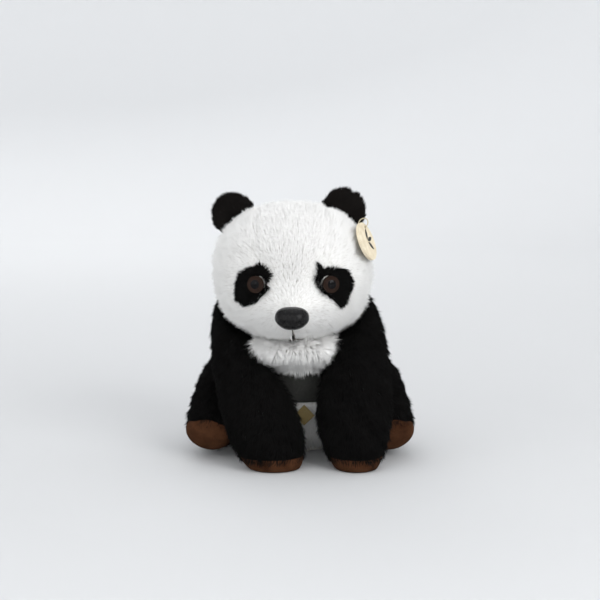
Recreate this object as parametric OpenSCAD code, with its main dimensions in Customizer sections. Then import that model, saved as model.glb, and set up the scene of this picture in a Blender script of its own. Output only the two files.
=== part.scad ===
// Sitting plush panda, sewn from pile fabric panels over loose stuffing.
// +Z is up, -Y is the way the panda faces, and X = 0, Y = 0 is the middle of the space it fills.
// "left" and "right" are the panda's own: its left side is +X.

/* [Torso] */
// Width of the torso between the hind legs
torso_w = 107; // [86:1:128]
// Depth of the torso through the belly, front to back
torso_d = 122; // [100:1:146]
// Height of the torso from the seat to the neck seam
torso_h = 103; // [86:1:124]
// Width of the narrow chest between the two front legs
chest_w = 50; // [42:1:58]

/* [Head] */
// Width of the head across the cheeks
head_w = 134; // [112:1:144]
// Height of the head from the chin to the crown
head_h = 118; // [98:1:140]
// Depth of the head without its muzzle
head_d = 108; // [92:1:120]
// How far the muzzle stands out of the face
muzzle_out = 25; // [20:1:30]
// How far the head leans to the panda's right
lean = 6.5; // [0:0.5:10]

/* [Face] */
// Distance between the middles of the eyes
eye_spacing = 60; // [50:1:68]
// Diameter of a safety eye
eye_d = 14; // [11:0.5:17]
// Diameter of the post behind an eye or the nose
post_d = 4.4; // [3.6:0.2:5.4]
// Width of the moulded nose
nose_w = 28; // [23:1:34]
// Height of the moulded nose
nose_h = 19; // [15:1:23]

/* [Ears and tag] */
// Width of an ear along its seam
ear_w = 38; // [32:1:46]
// Height of an ear from its seam to its rim
ear_h = 21; // [17:1:26]
// Diameter of the wooden tag
tag_d = 33; // [27:1:40]
// Thickness of the wooden tag
tag_t = 2.2; // [1.8:0.1:2.8]

/* [Legs] */
// Width of a front leg at the paw
front_leg_w = 68; // [56:1:82]
// Thickness of a front leg, front to back
front_leg_d = 54; // [45:1:62]
// Length of a hind leg from the hip to the sole
hind_leg_len = 92; // [78:1:110]
// Width of a hind leg
hind_leg_w = 47; // [39:1:56]

/* [Fabric] */
// Thickness of the pile fabric
skin_t = 4; // [3:0.5:5]
// Thickness of a suede sole
sole_t = 2; // [1.6:0.2:2.6]
// Clearance between two pieces that move apart
gap = 0.6; // [0.4:0.1:1]

/* [Hidden] */
slack = 0.15;       // between pieces of one body that lie against each other
loose = torso_w * 0.03;    // between a filling and the fabric round it
ring_n = 28;        // points round a section
white_fur = "#f2f2ec";
black_fur = "#161514";
suede = "#5a3826";

// ---- general shapes -------------------------------------------------------------------------

function mix(a, b, s) = a + (b - a) * s;
// Keeps v at or under a limit, but for a hundredth of what passes it, so that no points fall together.
function under(v, limit) = v > limit ? limit + 0.01 * (v - limit) : v;
function over(v, limit) = -under(-v, -limit);
function smooth(lo, hi, v) = let (s = min(1, max(0, (v - lo) / (hi - lo)))) s * s * (3 - 2 * s);
function unit(v) = v / norm(v);
function bezier(p, s) = p[0] * (1 - s) * (1 - s) + p[1] * 2 * s * (1 - s) + p[2] * s * s;
function slope(p, s) = (p[1] - p[0]) * (1 - s) + (p[2] - p[1]) * s;

// Width of a stuffed tube at zeta, from -1 at one end to 1 at the other: high powers are blunter.
function swell(zeta, power) = pow(max(0, 1 - pow(abs(zeta), power)), 1 / power);

// Station along a tube: evenly spaced angles crowd the stations towards the rounded ends.
function zeta_at(t) = -cos(180 * t);
function t_at(zeta) = acos(-zeta) / 180;

// All the rings of a form between two stations, n steps apart, at one depth below its surface.
function rings(form, t0, t1, n, depth) = [
    for (k = [0:n]) [for (j = [0:ring_n - 1]) form(360 * j / ring_n, mix(t0, t1, k / n), depth)]
];

// A closed solid through a list of rings, with a fan of triangles closing each end.
module loft(list) {
    m = len(list[0]);
    n = len(list);
    ones = [for (j = [1:m]) 1 / m];
    points = concat([for (r = list) each r], [ones * list[0], ones * list[n - 1]]);
    at = function (k, j) k * m + (j % m);
    faces = concat(
        [for (k = [0:n - 2]) for (j = [0:m - 1]) each [
            [at(k, j), at(k + 1, j), at(k + 1, j + 1)],
            [at(k, j), at(k + 1, j + 1), at(k, j + 1)]
        ]],
        [for (j = [0:m - 1]) [n * m, at(0, j), at(0, j + 1)]],
        [for (j = [0:m - 1]) [n * m + 1, at(n - 1, j + 1), at(n - 1, j)]]
    );
    polyhedron(points, faces);
}

// A sheet of fabric between an outer grid and an inner grid of points, both [across][along].
module sheet(outer, inner) {
    a = len(outer);
    b = len(outer[0]);
    points = concat([for (r = outer) each r], [for (r = inner) each r]);
    o = function (i, j) i * b + j;
    n = function (i, j) a * b + i * b + j;
    faces = concat(
        [for (i = [0:a - 2]) for (j = [0:b - 2]) each [
            [o(i, j), o(i + 1, j + 1), o(i + 1, j)], [o(i, j), o(i, j + 1), o(i + 1, j + 1)],
            [n(i, j), n(i + 1, j), n(i + 1, j + 1)], [n(i, j), n(i + 1, j + 1), n(i, j + 1)]
        ]],
        [for (i = [0:a - 2]) each [
            [o(i, 0), o(i + 1, 0), n(i + 1, 0)], [o(i, 0), n(i + 1, 0), n(i, 0)],
            [o(i, b - 1), n(i + 1, b - 1), o(i + 1, b - 1)], [o(i, b - 1), n(i, b - 1), n(i + 1, b - 1)]
        ]],
        [for (j = [0:b - 2]) each [
            [o(0, j), n(0, j + 1), o(0, j + 1)], [o(0, j), n(0, j), n(0, j + 1)],
            [o(a - 1, j), o(a - 1, j + 1), n(a - 1, j + 1)], [o(a - 1, j), n(a - 1, j + 1), n(a - 1, j)]
        ]]
    );
    polyhedron(points, faces);
}

// A panel cut from a form between two angles and two stations.
module panel(form, u0, u1, nu, t0, t1, nt, thick) {
    grid = function (depth) [for (i = [0:nu]) [
        for (j = [0:nt]) form(mix(u0, u1, i / nu), mix(t0, t1, j / nt), depth)
    ]];
    sheet(grid(0), grid(thick));
}

// A sewn cup: the skin of a form from an open end at t0 to a closed end at t1.
module cup(form, t0, t1, n, thick) {
    inside = rings(form, t1, t0, n, thick);
    outside = rings(form, t0, t1, n, 0);
    loft(concat(inside, outside));
}

// A round thread through a list of points, with flat ends.
module thread(route, d) {
    sides = 6;
    last = len(route) - 1;
    loft([for (k = [0:last]) let (
        along = unit(route[min(last, k + 1)] - route[max(0, k - 1)]),
        side = unit(cross(along, abs(along[2]) < 0.8 ? [0, 0, 1] : [1, 0, 0])),
        up = cross(along, side)
    ) [for (j = [0:sides - 1]) route[k] + d / 2 * (side * cos(60 * j) + up * sin(60 * j))]]);
}

// Puts a shape that points along +Z at a place, pointing along dir.
module aim(place, dir) {
    d = unit(dir);
    translate(place)
        rotate([0, acos(d[2]), atan2(d[1], d[0])])
            children();
}

// ---- torso ----------------------------------------------------------------------------------

torso_path = [[0, 28, -4], [0, 30, torso_h * 0.53], [0, -16, torso_h + 4]];
chest_x = -lean * 0.85;
function torso_x(z) = chest_x * smooth(0.42, 0.56, z / torso_h);
torso_top = t_at(0.90);
torso_band = t_at(-0.06);   // the seam between the white belly and the black chest
torso_bib = t_at(0.56);     // the seam between the chest and the white throat
torso_low = t_at(-0.88);

// Half the torso's width between the front legs, and behind them where the shoulders widen.
function beside_chest(y) = mix(chest_w / 2, torso_w / 2, smooth(5, 48, y));

// Level, oval sections, flat where they would pass the seat, pinched in between the front legs.
torso_form = function (u, t, depth) let (
    zeta = zeta_at(t) * (1 - depth / (torso_h / 2)),
    s = (zeta + 1) / 2,
    w = swell(zeta_at(t), 3),
    c = bezier(torso_path, s),
    y = c[1] + (mix(torso_d / 2, torso_d * 0.43, s) - depth) * w * sin(u),
    wide = (torso_w / 2 - depth) * w * cos(u),
    pinch = mix(torso_w / 2, beside_chest(y), smooth(torso_h * 0.34, torso_h * 0.48, c[2])) - depth
) [torso_x(c[2]) + over(under(wide, pinch), -pinch), y, max(c[2], depth)];

neck = [chest_x, torso_path[2][1] - 2, torso_form(0, torso_top, 0)[2]];
neck_r = 21;
neck_t = 2.4;

module back_panel() color(white_fur)
    panel(torso_form, -30, 210, 18, torso_low, torso_band, 8, skin_t);
module belly_panel() color(white_fur)
    panel(torso_form, 210, 330, 12, torso_low, torso_band, 8, skin_t);
module shoulder_yoke() color(black_fur)
    panel(torso_form, -50, 230, 28, torso_band, torso_top, 9, skin_t);
module chest_panel() color("#2b2a26")
    panel(torso_form, 230, 310, 10, torso_band, torso_bib, 4, skin_t);
module throat_bib() color(white_fur)
    panel(torso_form, 230, 310, 10, torso_bib, torso_top, 6, skin_t);

module seat_base() color(white_fur) {
    rim = rings(torso_form, torso_low, torso_low, 1, skin_t + loose)[0];
    loft([for (z = [0, skin_t]) [for (p = rim) [p[0], p[1], z]]]);
}

pellet_h = torso_h * 0.2;
pellet_t = t_at(-0.42);
module pellet_bag() color("#d8d2c0") {
    list = rings(torso_form, torso_low + 0.02, pellet_t, 4, skin_t + loose);
    loft([for (r = list) [for (p = r) [p[0], p[1], max(p[2], skin_t + slack)]]]);
}

module torso_stuffing() color("#e9e6dc")
    loft(rings(torso_form, pellet_t + 0.012, torso_top - 0.004, 11, skin_t + loose));

// A ladder of stitches closing the back panel below the yoke.
stitches = 9;
module closing_stitches() color("#e4e1d6")
    for (k = [1:stitches]) {
        t = mix(torso_low, torso_band, 0.2 + 0.6 * k / stitches);
        thread([for (du = [-1.6, 0, 1.6]) torso_form(90 + du, t, -0.45)], 0.6);
    }

label_w = 14;
label_t = 0.6;
seam_point = torso_form(270, torso_band, -gap);
label_hinge = [seam_point[0] + lean * 0.9, seam_point[1] - label_t, seam_point[2] - 1];
// A woven square hanging by one corner from the seam under the chest.
module care_label() color("#8a7840")
    translate(label_hinge)
        rotate([90, 0, 0])
            linear_extrude(label_t)
                rotate(45)
                    translate([-label_w * 0.96, -label_w * 0.96])
                        square(label_w * 0.92);

module neck_collar() color(white_fur)
    translate([neck[0], neck[1], neck[2] + gap])
        cylinder(r = neck_r, h = neck_t, $fn = 64);

// ---- head -----------------------------------------------------------------------------------

nod_gap = 2.6;      // room above the collar for the nod
head_mid = [-lean, neck[1] - 10, neck[2] + gap + neck_t + nod_gap + head_h / 2 - 3.5];
head_base = head_mid[2] - head_h / 2 + 3.5;
nod_axis = [neck[0], neck[1], neck[2] + gap + neck_t / 2];

// Round sections about a line from ear to ear, with a muzzle, and flat over the neck.
head_form = function (u, t, depth) let (
    zeta = zeta_at(t),
    w = swell(zeta, 2.4),
    x = zeta * (head_w / 2 - depth),
    z = w * (head_h / 2 - depth) * sin(u),
    front = max(0, cos(u)),
    out = muzzle_out * exp(-pow(abs(x) / (head_w * 0.2), 2.3) - pow(abs(z + head_h * 0.32) / (head_h * 0.21), 3)),
    y = -w * (head_d / 2 - depth) * cos(u) - out * pow(front, 0.3)
) head_mid + [x, y, max(z, head_base - head_mid[2] + depth)];

// The front of the face over a place (x, z) measured from the middle of the head.
function face(x, z, depth) = let (
    zeta = x / (head_w / 2 - depth),
    w = swell(zeta, 2.4),
    rise = asin(max(-0.98, min(0.98, z / (w * (head_h / 2 - depth)))))
) head_form(rise, t_at(zeta), depth);
function face_out(x, z) = let (step = 1) unit(cross(
    face(x + step, z, 0) - face(x - step, z, 0),
    face(x, z + step, 0) - face(x, z - step, 0)
));

gusset = 0.4;       // half width of the gusset, as a share of half the head
seam_l = t_at(gusset);
seam_r = t_at(-gusset);
step_u = 360 / ring_n;
nape = 16 * step_u; // angle at the back where the crown gusset ends
bridge = -step_u;   // angle at the front where it meets the muzzle
eye_z = -head_h * 0.034;
eye_r_place = [-eye_spacing / 2 + 1, eye_z];
eye_l_place = [eye_spacing / 2 + 1, eye_z];
nose_place = [0, -head_h * 0.256];
patch_t = 1;
patch_lift = 0.8;   // of a patch above the fabric, which is not quite as smooth

// Where the post of an eye or the nose goes through the fabric: a clear round hole.
module post_hole(place, r, deep) {
    dir = face_out(place[0], place[1]);
    aim(face(place[0], place[1], 0) + dir * 4, -dir)
        cylinder(r = r, h = deep + 4, $fn = 48);
}
hole_r = post_d / 2 + 0.1;

module crown_gusset() color(white_fur)
    panel(head_form, bridge, nape, 17, seam_r, seam_l, 8, skin_t);

module chin_gusset() color(white_fur)
    panel(head_form, nape, 360 + bridge, 11, seam_r, seam_l, 8, skin_t);

module face_side(seam, pole, place) color(white_fur)
    difference() {
        cup(head_form, seam, pole, 7, skin_t);
        post_hole(place, hole_r, skin_t * 3);
    }
module face_left() face_side(seam_l, t_at(0.992), eye_l_place);
module face_right() face_side(seam_r, t_at(-0.992), eye_r_place);

washer_t = 1.6;
washer_r = eye_d * 0.46;
post_len = skin_t + washer_t + patch_t + 3;
module head_stuffing() color("#e9e6dc")
    difference() {
        loft(rings(head_form, t_at(-0.99), t_at(0.99), 20, skin_t + loose));
        for (place = [eye_l_place, eye_r_place])
            post_hole(place, washer_r + slack, post_len + 1);
        post_hole(nose_place, nose_w * 0.2 + slack, post_len + nose_sunk);
    }

// A drop-shaped appliqué round the eye, lying on the fabric: its point is up and inwards.
module eye_patch(side, place) color(black_fur) {
    edge = function (a) 15.5 + 3.5 * cos(2 * (a + 52)) - 1.2 * cos(3 * (a - 20));
    spot = function (a, r, depth) face(
        place[0] + side * (4.5 + r * edge(a) * cos(a)), place[1] - 1 + r * edge(a) * sin(a) * 1.12, depth
    );
    steps = [0.3, 0.55, 0.8, 1];
    layer = function (r, depth) [for (j = [0:23]) spot(15 * j * side, r, depth)];
    difference() {
        loft(concat(
            [for (r = steps) layer(r, -patch_lift)],
            [for (k = [3:-1:0]) layer(steps[k], -patch_lift - patch_t)]
        ));
        post_hole(place, hole_r, skin_t);
    }
}
module eye_patch_left() eye_patch(1, eye_l_place);
module eye_patch_right() eye_patch(-1, eye_r_place);

eye_lift = patch_t + patch_lift + 0.6;   // the back of an eye above the fabric
iris_t = 1.2;
// The painted back of the eye with the post that locks it in.
module eye(place) color("#4a2413") {
    dir = face_out(place[0], place[1]);
    aim(face(place[0], place[1], 0) + dir * eye_lift, dir)
        cylinder(d = eye_d, h = iris_t, $fn = 64);
    aim(face(place[0], place[1], 0) + dir * (eye_lift + iris_t / 2), -dir)
        cylinder(d = post_d, h = post_len + eye_lift, $fn = 48);
}
module eye_left() eye(eye_l_place);
module eye_right() eye(eye_r_place);

dome_h = eye_d * 0.3;
dome_r = (pow(eye_d / 2, 2) + dome_h * dome_h) / (2 * dome_h);
module eye_dome(place) color("#201510") {
    dir = face_out(place[0], place[1]);
    aim(face(place[0], place[1], 0) + dir * (eye_lift + iris_t), dir)
        intersection() {
            translate([0, 0, dome_h - dome_r]) sphere(r = dome_r, $fn = 96);
            cylinder(r = eye_d, h = eye_d, $fn = 64);
        }
}
module eye_dome_left() eye_dome(eye_l_place);
module eye_dome_right() eye_dome(eye_r_place);

module lock_washer(place, r, deep) color("#dcdcd6") {
    dir = face_out(place[0], place[1]);
    aim(face(place[0], place[1], 0) - dir * deep, -dir)
        difference() {
            cylinder(r = r, h = washer_t, $fn = 64);
            translate([0, 0, -1]) cylinder(r = post_d / 2 + 0.05, h = washer_t + 2, $fn = 48);
        }
}
module eye_washer_left() lock_washer(eye_l_place, washer_r, skin_t + 1);
module eye_washer_right() lock_washer(eye_r_place, washer_r, skin_t + 1);

nose_deep = nose_h * 0.75;
nose_out = face_out(nose_place[0], nose_place[1]);
nose_sunk = 4;      // how far the nose is pulled into the soft muzzle
nose_back = face(nose_place[0], nose_place[1], 0) - nose_out * nose_sunk;
// A rounded moulding, broad at the top and narrower below, flat at the back, with its post.
module nose() color("#15130f") {
    ring = function (rise) let (w = swell(rise, 2.4)) [for (j = [0:ring_n - 1]) let (
        a = 360 * j / ring_n,
        narrow = 1 - 0.16 * smooth(0, -1, sin(a))
    ) [nose_w / 2 * w * narrow * cos(a), nose_h / 2 * w * sin(a), rise * nose_deep]];
    translate(nose_back)
        rotate([90 + 6, 0, 0])
            loft([for (rise = [0, 0.15, 0.3, 0.45, 0.58, 0.7, 0.8, 0.9, 0.97]) ring(rise)]);
    aim(nose_back + nose_out, -nose_out)
        cylinder(d = post_d, h = post_len, $fn = 48);
}
module nose_washer() lock_washer(nose_place, nose_w * 0.2, nose_sunk + skin_t + 1.2);

thread_d = 1.1;
mouth_top = nose_place[1] - nose_h * 0.55;
mouth_low = nose_place[1] - nose_h * 1.02;
// Three strands: one down from the nose and one each way along the lip.
module mouth_stitch() color("#4a4038") {
    lift = -thread_d / 2 - slack;
    thread([for (k = [0:4]) face(0.4 * k / 4, mix(mouth_top, mouth_low, k / 4), lift)], thread_d);
    for (side = [-1, 1])
        thread([for (k = [0:3]) face(side * (1.4 + 1.6 * k), mouth_low - 1.6 - 0.25 * k, lift)], thread_d);
}

// ---- ears and tag ---------------------------------------------------------------------------

ear_gap = 2.8;
ear_layer = 3.6;
ear_bow = 5;        // how far the ends of an ear's seam drop below its middle, round the head
function ear_station(side) = side > 0 ? 0.62 : -0.71;
function ear_slope(side) = side > 0 ? 33 : 42;
ear_seat = function (side) head_form(106, t_at(ear_station(side)), 0);
function ear_up(side) = [side * sin(ear_slope(side)), 0, cos(ear_slope(side))];
function ear_along(side) = [side * cos(ear_slope(side)), 0, -sin(ear_slope(side))];
function ear_foot(side) = ear_seat(side) + ear_up(side) * ear_gap;

// One domed half of an ear: across is -1 to 1 along the seam, up is 0 at the seam to 1 at the rim.
module ear_half(side, facing) color(black_fur) {
    across_steps = 12;
    up_steps = 5;
    spot = function (i, j, lift) let (
        across = mix(-0.97, 0.97, i / across_steps),
        drop = ear_bow * across * across,
        tall = ear_h * swell(across, 2.3) + drop * 0.6,
        up = tall * j / up_steps - drop,
        dome = (1 - pow(j / up_steps, 3)) * swell(across, 4)
    ) ear_foot(side) + ear_along(side) * across * ear_w / 2 + ear_up(side) * up
        + [0, facing * (lift == 0 ? slack / 2 : 0.6 + ear_layer * dome), 0];
    outer = [for (i = [0:across_steps]) [for (j = [0:up_steps]) spot(i, j, 1)]];
    inner = [for (i = [0:across_steps]) [for (j = [0:up_steps]) spot(i, j, 0)]];
    if (side * facing < 0) sheet(outer, inner);
    else sheet(inner, outer);
}
module ear_front_left() ear_half(1, -1);
module ear_back_left() ear_half(1, 1);
module ear_front_right() ear_half(-1, -1);
module ear_back_right() ear_half(-1, 1);

// The tag hangs beside the head from the outer end of the left ear's seam.
tag_out = unit([0.87, -0.34, 0.36]);
tag_down = unit(cross(tag_out, cross([0.30, -0.60, -0.75], tag_out)));
tag_pin = ear_foot(1) + ear_along(1) * ear_w / 2 + [0.5, -25, -2];
tag_hole_d = 3;
tag_mid = tag_pin + tag_down * (tag_d / 2 - 3.4);
module tag_disc() color("#e8dcc0")
    difference() {
        aim(tag_mid, tag_out) cylinder(d = tag_d, h = tag_t, $fn = 96);
        aim(tag_pin - tag_out, tag_out) cylinder(d = tag_hole_d, h = tag_t + 2, $fn = 32);
    }
// A plain sprig of bamboo leaves printed on the tag.
leaf_len = tag_d * 0.26;
module tag_print() color("#2a2622")
    aim(tag_mid + tag_out * (tag_t + 0.02), tag_out)
        linear_extrude(0.2)
            for (k = [0:2])
                rotate(55 * (k - 1) + 100)
                    translate([leaf_len * 0.75, 0])
                        intersection() {
                            translate([0, leaf_len * 0.8]) circle(leaf_len, $fn = 48);
                            translate([0, -leaf_len * 0.8]) circle(leaf_len, $fn = 48);
                        }
loop_r = 4.4;
loop_d = 0.9;
// The stitched loop that holds the tag: it passes through the hole and over the tag's edge.
module tag_loop() color("#cfc4a6")
    translate(tag_pin + tag_out * (tag_t / 2) - tag_down * loop_r)
        aim([0, 0, 0], cross(tag_out, tag_down))
            rotate_extrude($fn = 48)
                translate([loop_r, 0])
                    circle(d = loop_d, $fn = 16);

// ---- front legs -----------------------------------------------------------------------------

shoulder = [chest_x, 2, torso_h + 6];
paw_shift = 14;
rear_slope = 0.95;
rear_y = -46;       // behind a front leg and in front of a hind leg, below the knee height
knee_z = torso_h * 0.39;
head_room = 6;
leg_top = torso_h * 1.42;
// Pushes a point out of the room that the turning head takes.
function beside_head(p) = let (
    q = p - head_mid,
    flat = pow(q[1] / (head_d / 2 + head_room), 2) + pow(q[2] / (head_h / 2 + head_room), 2),
    m = pow(pow(abs(q[0]) / (head_w / 2 + head_room), 2.4) + pow(flat, 1.2), 1 / 2.4)
) m < 1 ? head_mid + q * mix(1, 1 / max(m, 0.5), 0.99) : p;

function rear_of_front_leg(z) = rear_y + rear_slope * max(0, z - knee_z);

// Halfway between the front legs: the paws stand a little to the left of the shoulders.
function between_paws(z) = mix(paw_shift, shoulder[0], smooth(torso_h * 0.2, torso_h * 0.85, z));

// side is 1 for the left leg.
function front_path(side) = [
    [paw_shift + side * front_leg_w / 2, -66, -6],
    [2 + side * (chest_w / 2 + front_leg_w * 0.22), -66, torso_h * 0.66],
    [shoulder[0] + side * (chest_w / 2 + front_leg_w * 0.47), 8, torso_h * 1.38]
];
function front_leg_form(side, narrow) = function (u, t, depth) let (
    path = front_path(side),
    zeta = zeta_at(t),
    len = norm(path[2] - path[0]),
    s = (zeta * (1 - 2 * depth / len) + 1) / 2,
    w = swell(zeta, mix(3.2, 2.5, s)),
    slim = mix(narrow, 1, smooth(0, 0.45, s)),
    half_w = mix(front_leg_w * 0.28, front_leg_w / 2 * slim, 1 - pow(s, 3)) - depth,
    half_d = mix(front_leg_d * 0.5, front_leg_d / 2, 1 - s * s) - depth,
    p = bezier(path, s) + [half_w * w * cos(u), half_d * w * sin(u), 0],
    z = over(p[2], depth),
    y = under(p[1], rear_of_front_leg(z) - depth * 1.2),
    clear = smooth(-rear_y + 6, -rear_y + 14, -y),
    between = mix(shoulder[0], between_paws(z), clear),
    inner = mix(3 * gap + beside_chest(y), gap, clear) + depth,
    x = between + side * over(side * (p[0] - between), inner)
) beside_head([x, y, under(z, leg_top - depth)]);

front_l = front_leg_form(1, 0.82);
front_r = front_leg_form(-1, 1);
paw_t = t_at(-0.80);
front_top = t_at(0.97);
module front_leg(form) color(black_fur) cup(form, paw_t, front_top, 14, skin_t);
module front_leg_left() front_leg(front_l);
module front_leg_right() front_leg(front_r);

// A suede cap that closes the open end of a leg: it curves up all round to its seam.
module sole_cap(form, seam, pole) color(suede) cup(form, seam - seam_gap, pole, 5, sole_t);
seam_gap = 0.003;   // between a cap's rim and the leg's, as a share of the leg
module front_sole_left() sole_cap(front_l, paw_t, t_at(-0.985));
module front_sole_right() sole_cap(front_r, paw_t, t_at(-0.985));

module front_stuffing(form) color("#e9e6dc")
    loft(rings(form, paw_t + 0.03, front_top - 0.01, 14, skin_t + 2 * loose));
module front_stuffing_left() front_stuffing(front_l);
module front_stuffing_right() front_stuffing(front_r);

// ---- hind legs and tail ---------------------------------------------------------------------

hip_x = torso_w / 2 + gap;
function hind_path(side) = [
    [side * (hip_x + hind_leg_w * 0.56), rear_y + 2 * sole_t, 20],
    [side * (hip_x + hind_leg_w * 0.36), rear_y + hind_leg_len * 0.45, torso_h * 0.42],
    [side * (hip_x + hind_leg_w * 0.24), rear_y + hind_leg_len, torso_h * 0.4]
];
function hind_leg_form(side) = function (u, t, depth) let (
    path = hind_path(side),
    zeta = zeta_at(t),
    s = (zeta * (1 - 2 * depth / hind_leg_len) + 1) / 2,
    w = swell(zeta, mix(5, 3, smooth(0, 0.3, s))),
    dir = unit(slope(path, s)),
    across = unit([1, 0, 0] - dir * dir[0]),
    fore = cross(dir, across),
    half_w = hind_leg_w / 2 - depth,
    half_z = mix(21, torso_h * 0.42, smooth(0, 0.75, s)) - depth,
    p = bezier(path, s) + across * half_w * w * cos(u) + fore * half_z * w * sin(u),
    z = over(p[2], depth),
    y = over(p[1], rear_of_front_leg(z) + 3 * gap + depth * 1.2)
) [side * over(side * p[0], hip_x + depth), y, z];

hind_l = hind_leg_form(1);
hind_r = hind_leg_form(-1);
foot_t = t_at(-0.80);
hip_t = t_at(0.98);
module hind_leg(form) color(black_fur) cup(form, foot_t, hip_t, 12, skin_t);
module hind_leg_left() hind_leg(hind_l);
module hind_leg_right() hind_leg(hind_r);

module hind_sole_left() sole_cap(hind_l, foot_t, t_at(-0.985));
module hind_sole_right() sole_cap(hind_r, foot_t, t_at(-0.985));

module hind_stuffing(form) color("#e9e6dc")
    loft(rings(form, foot_t + 0.03, hip_t - 0.01, 12, skin_t + loose));
module hind_stuffing_left() hind_stuffing(hind_l);
module hind_stuffing_right() hind_stuffing(hind_r);
hip = [hip_x + 6, rear_y + hind_leg_len * 0.9, torso_h * 0.4];

tail_z = torso_h * 0.34;
tail_root = torso_form(90, t_at(2 * tail_z / torso_h - 1.02), 0);
tail_len = 25;
// A small stub, thinner at its root and round at its tip.
module tail() color(white_fur) {
    path = [tail_root + [0, gap + 0.4, 0], tail_root + [0, tail_len * 0.6, -1], tail_root + [0, tail_len, -7]];
    loft([for (k = [0:8]) let (t = mix(0.02, 0.98, k / 8), s = (zeta_at(t) + 1) / 2,
        w = swell(zeta_at(t), 2.8) * mix(10, 14, smooth(0, 0.6, s)))
        [for (j = [0:19]) bezier(path, s) + [w * cos(18 * j), 0, 0] + [0, -0.25, 1] * w * 0.9 * sin(18 * j)]]);
}

back_panel();
belly_panel();
shoulder_yoke();
chest_panel();
throat_bib();
seat_base();
torso_stuffing();
pellet_bag();
closing_stitches();
care_label();
neck_collar();
crown_gusset();
chin_gusset();
face_left();
face_right();
head_stuffing();
eye_patch_left();
eye_patch_right();
eye_left();
eye_right();
eye_dome_left();
eye_dome_right();
eye_washer_left();
eye_washer_right();
nose();
nose_washer();
mouth_stitch();
ear_front_left();
ear_back_left();
ear_front_right();
ear_back_right();
tag_disc();
tag_print();
tag_loop();
front_leg_left();
front_leg_right();
front_sole_left();
front_sole_right();
front_stuffing_left();
front_stuffing_right();
hind_leg_left();
hind_leg_right();
hind_sole_left();
hind_sole_right();
hind_stuffing_left();
hind_stuffing_right();
tail();
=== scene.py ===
import bpy
import numpy as np
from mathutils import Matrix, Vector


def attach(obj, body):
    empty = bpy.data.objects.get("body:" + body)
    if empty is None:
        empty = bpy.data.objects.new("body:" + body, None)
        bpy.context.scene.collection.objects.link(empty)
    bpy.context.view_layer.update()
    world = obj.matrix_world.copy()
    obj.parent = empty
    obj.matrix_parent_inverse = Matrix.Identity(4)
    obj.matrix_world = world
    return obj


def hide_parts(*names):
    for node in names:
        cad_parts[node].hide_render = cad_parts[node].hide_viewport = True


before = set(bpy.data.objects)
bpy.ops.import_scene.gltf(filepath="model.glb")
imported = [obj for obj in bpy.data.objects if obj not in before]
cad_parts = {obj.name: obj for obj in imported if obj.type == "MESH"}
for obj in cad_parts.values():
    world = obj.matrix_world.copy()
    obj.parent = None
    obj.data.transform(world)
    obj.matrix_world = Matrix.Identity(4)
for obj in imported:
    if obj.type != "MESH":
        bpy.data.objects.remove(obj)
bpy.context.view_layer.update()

MM = 0.001

# ---- sizes, the same as the sewing pattern's ---------------------------------------------------

TORSO_W, TORSO_D, TORSO_H, CHEST_W = 107.0, 122.0, 103.0, 50.0
HEAD_W, HEAD_H, HEAD_D, MUZZLE_OUT, LEAN = 134.0, 118.0, 108.0, 25.0, 6.5
EYE_SPACING, EYE_D, NOSE_W, NOSE_H = 60.0, 14.0, 28.0, 19.0
EAR_W, EAR_H = 38.0, 21.0
FRONT_W, FRONT_D = 68.0, 54.0
HIND_LEN, HIND_W = 92.0, 47.0
GAP = 0.6
HEAD_MID = np.array([-6.5, -28.0, 162.844])
HEAD_BASE = 107.344
SHOULDER = np.array([-5.525, 2.0, 109.0])
NECK, NECK_R, NECK_LOW, NECK_HIGH = (-5.525, -18.0), 20.0, 102.6, 104.6


# ---- small maths -------------------------------------------------------------------------------

def mix(a, b, s):
    """a at s = 0, b at s = 1, a straight line between."""
    return a + (b - a) * s


def smooth(lo, hi, v):
    """0 below lo, 1 above hi, and the cubic 3s^2 - 2s^3 between."""
    s = np.clip((v - lo) / (hi - lo), 0, 1)
    return s * s * (3 - 2 * s)


def unit(v):
    """Each vector divided by its own length."""
    return v / np.maximum(np.linalg.norm(v, axis=-1, keepdims=True), 1e-9)


def swell(zeta, power):
    """Width of a stuffed tube: the power-th root of 1 - |zeta|^power."""
    return np.maximum(0, 1 - np.abs(zeta) ** power) ** (1 / power)


def under(v, limit):
    """v, but only a hundredth of what passes the limit."""
    return np.where(v > limit, limit + 0.01 * (v - limit), v)


def over(v, limit):
    """v, but only a hundredth of what falls short of the limit."""
    return -under(-v, -limit)


def bezier(path, s):
    """Point on the quadratic curve that starts at path[0], is drawn to path[1] and ends at path[2]."""
    s = np.asarray(s)[..., None]
    p = np.asarray(path, float)
    return p[0] * (1 - s) ** 2 + p[1] * 2 * s * (1 - s) + p[2] * s * s


def drift(p, wavelength, seed):
    """A vector that wanders smoothly over space: nine sine waves in fixed directions, added up."""
    rng = np.random.default_rng(seed)
    way = unit(rng.normal(size=(9, 3))) * (2 * np.pi / wavelength) * rng.uniform(0.6, 1.6, (9, 1))
    return np.sin(p @ way.T + rng.uniform(0, 6.28, 9)) @ rng.normal(size=(9, 3)) / 3


# ---- forms: each gives points for an angle u in degrees, a station and a depth ------------------

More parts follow.
